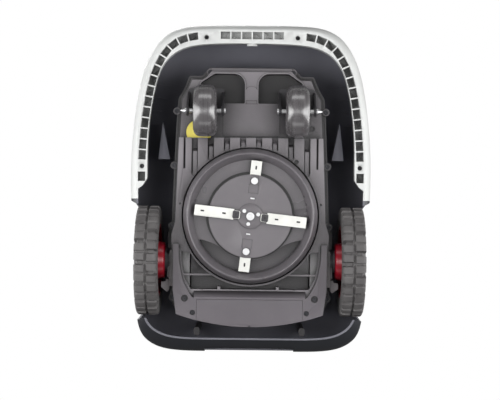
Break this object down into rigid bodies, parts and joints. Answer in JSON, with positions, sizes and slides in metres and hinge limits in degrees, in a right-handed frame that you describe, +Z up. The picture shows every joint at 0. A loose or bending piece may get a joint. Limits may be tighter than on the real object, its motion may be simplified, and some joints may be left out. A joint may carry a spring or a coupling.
{
  "type": "robotic lawn mower",
  "caption": "Battery robotic lawn mower with a floating hood, two lugged drive wheels, two swivelling castors and a height-adjustable cutting disc with pivoting blades.",
  "frame": {"origin": "on the ground, midway between nose and tail and between the two sides", "axes": "+Z up, the nose points to -Y; +X is the mower's own left-hand side, and the node names' left and right are those of someone who looks at the underside with the nose up"},
  "size_m": [0.4258, 0.5803, 0.2596],
  "materials": {
    "surround_grey": "fine moulded grain",
    "hood_black": "satin moulded plastic",
    "chassis_grey": "fine moulded grain",
    "black_plastic": "fine moulded grain",
    "gasket_rubber": "soft seal",
    "tyre_rubber": "moulded tread",
    "castor_rubber": "smooth roller",
    "red_plastic": "glossy moulded plastic",
    "yellow_plastic": "glossy moulded plastic",
    "steel": "machined",
    "blade_steel": "ground edges",
    "screw_black": "blackened steel",
    "zinc": "zinc plated",
    "copper": "plain copper alloy",
    "board_green": "solder mask",
    "battery_blue": "shrink sleeve",
    "motor_metal": "cast and turned",
    "gear_grey": "moulded plastic",
    "key_grey": "soft keys",
    "display_glass": "polished window"
  },
  "bodies": {
    "chassis": {"chassis_tub": "chassis_grey", "chassis_gasket": "gasket_rubber", "chassis_cover": "black_plastic", "chassis_screws": "screw_black", "rear_cover": "chassis_grey", "battery_lid": "chassis_grey", "battery_pack": "battery_blue", "circuit_board": "board_green", "axle_collars": "black_plastic", "service_cap": "yellow_plastic", "castor_bushings": "black_plastic", "hood_buffers": "gasket_rubber", "control_housing": "black_plastic", "control_panel": "black_plastic", "display_window": "display_glass", "gearbox_left": "gear_grey", "gearbox_right": "gear_grey", "drive_motor_left": "motor_metal", "drive_motor_right": "motor_metal"},
    "hood": {"hood_shell": "hood_black", "hood_surround": "surround_grey", "hood_screws": "zinc", "hood_posts": "chassis_grey", "charging_contacts": "copper", "flap_pin": "steel", "stop_collar": "black_plastic"},
    "flap": {"control_flap": "hood_black"},
    "stop": {"stop_button": "red_plastic"},
    "knob": {"height_knob": "gear_grey", "height_spindle": "steel"},
    "deck": {"cutting_deck": "chassis_grey", "cutting_motor": "motor_metal", "deck_guide_posts": "steel", "lift_nut": "gear_grey"},
    "rotor": {"blade_disc": "chassis_grey", "hub_cover": "chassis_grey", "blade_holders": "black_plastic", "spindle_shaft": "steel", "rotor_screws": "zinc"},
    "long_blade_1": {"long_blade_1": "blade_steel"},
    "short_blade_1": {"short_blade_1": "blade_steel"},
    "long_blade_2": {"long_blade_2": "blade_steel"},
    "short_blade_2": {"short_blade_2": "blade_steel"},
    "key_power": {"key_power": "red_plastic"},
    "key_home": {"key_home": "key_grey"},
    "key_start": {"key_start": "key_grey"},
    "key_up": {"key_up": "key_grey"},
    "key_down": {"key_down": "key_grey"},
    "castor_left": {"castor_fork_left": "black_plastic", "castor_axle_left": "steel"},
    "castor_wheel_left": {"castor_tyre_left": "castor_rubber"},
    "drive_wheel_left": {"drive_tyre_left": "tyre_rubber", "drive_rim_left": "red_plastic", "drive_axle_left": "steel"},
    "castor_right": {"castor_fork_right": "black_plastic", "castor_axle_right": "steel"},
    "castor_wheel_right": {"castor_tyre_right": "castor_rubber"},
    "drive_wheel_right": {"drive_tyre_right": "tyre_rubber", "drive_rim_right": "red_plastic", "drive_axle_right": "steel"}
  },
  "joints": [
    {"name": "hood_shift", "type": "slide", "parent": "chassis", "child": "hood", "axis": [0, 1, 0], "range_m": [-0.003, 0.003], "stiffness_N_per_m": 4000},
    {"name": "flap_hinge", "type": "hinge", "parent": "hood", "child": "flap", "pos_m": [0, -0.081, 0.242], "axis": [1, 0, 0], "range_deg": [0, 100]},
    {"name": "stop_press", "type": "slide", "parent": "hood", "child": "stop", "axis": [0, 0, -1], "range_m": [0, 0.005], "stiffness_N_per_m": 1500},
    {"name": "deck_height", "type": "slide", "parent": "chassis", "child": "deck", "axis": [0, 0, 1], "range_m": [-0.015, 0.015]},
    {"name": "height_turn", "type": "hinge", "parent": "chassis", "child": "knob", "pos_m": [0, 0.049, 0.22], "axis": [0, 0, 1], "range_deg": [-151, 151]},
    {"name": "rotor_spin", "type": "hinge", "parent": "deck", "child": "rotor", "pos_m": [0, 0.049, 0.05], "axis": [0, 0, 1], "continuous": true},
    {"name": "long_blade_1_swing", "type": "hinge", "parent": "rotor", "child": "long_blade_1", "pos_m": [0.02485, 0.05174, 0.0415], "axis": [0, 0, 1], "range_deg": [-60, 60]},
    {"name": "short_blade_1_swing", "type": "hinge", "parent": "rotor", "child": "short_blade_1", "pos_m": [-0.0068, 0.11063, 0.05], "axis": [0, 0, 1], "range_deg": [-90, 90]},
    {"name": "long_blade_2_swing", "type": "hinge", "parent": "rotor", "child": "long_blade_2", "pos_m": [-0.02485, 0.04626, 0.0415], "axis": [0, 0, 1], "range_deg": [-60, 60]},
    {"name": "short_blade_2_swing", "type": "hinge", "parent": "rotor", "child": "short_blade_2", "pos_m": [0.0068, -0.01263, 0.05], "axis": [0, 0, 1], "range_deg": [-90, 90]},
    {"name": "key_power_press", "type": "slide", "parent": "chassis", "child": "key_power", "axis": [0, 0, -1], "range_m": [0, 0.001], "stiffness_N_per_m": 800},
    {"name": "key_home_press", "type": "slide", "parent": "chassis", "child": "key_home", "axis": [0, 0, -1], "range_m": [0, 0.001], "stiffness_N_per_m": 800},
    {"name": "key_start_press", "type": "slide", "parent": "chassis", "child": "key_start", "axis": [0, 0, -1], "range_m": [0, 0.001], "stiffness_N_per_m": 800},
    {"name": "key_up_press", "type": "slide", "parent": "chassis", "child": "key_up", "axis": [0, 0, -1], "range_m": [0, 0.001], "stiffness_N_per_m": 800},
    {"name": "key_down_press", "type": "slide", "parent": "chassis", "child": "key_down", "axis": [0, 0, -1], "range_m": [0, 0.001], "stiffness_N_per_m": 800},
    {"name": "castor_swivel_left", "type": "hinge", "parent": "chassis", "child": "castor_left", "pos_m": [-0.0805, -0.162, 0.1], "axis": [0, 0, 1], "continuous": true},
    {"name": "castor_roll_left", "type": "hinge", "parent": "castor_left", "child": "castor_wheel_left", "pos_m": [-0.0805, -0.134, 0.045], "axis": [1, 0, 0], "continuous": true},
    {"name": "drive_roll_left", "type": "hinge", "parent": "chassis", "child": "drive_wheel_left", "pos_m": [-0.1795, 0.129, 0.097], "axis": [1, 0, 0], "continuous": true},
    {"name": "castor_swivel_right", "type": "hinge", "parent": "chassis", "child": "castor_right", "pos_m": [0.0805, -0.162, 0.1], "axis": [0, 0, 1], "continuous": true},
    {"name": "castor_roll_right", "type": "hinge", "parent": "castor_right", "child": "castor_wheel_right", "pos_m": [0.0805, -0.134, 0.045], "axis": [1, 0, 0], "continuous": true},
    {"name": "drive_roll_right", "type": "hinge", "parent": "chassis", "child": "drive_wheel_right", "pos_m": [0.1795, 0.129, 0.097], "axis": [1, 0, 0], "continuous": true}
  ],
  "couplings": [
    {"joint": "height_turn", "follows": "deck_height", "rad_per_m": 175}
  ]
}
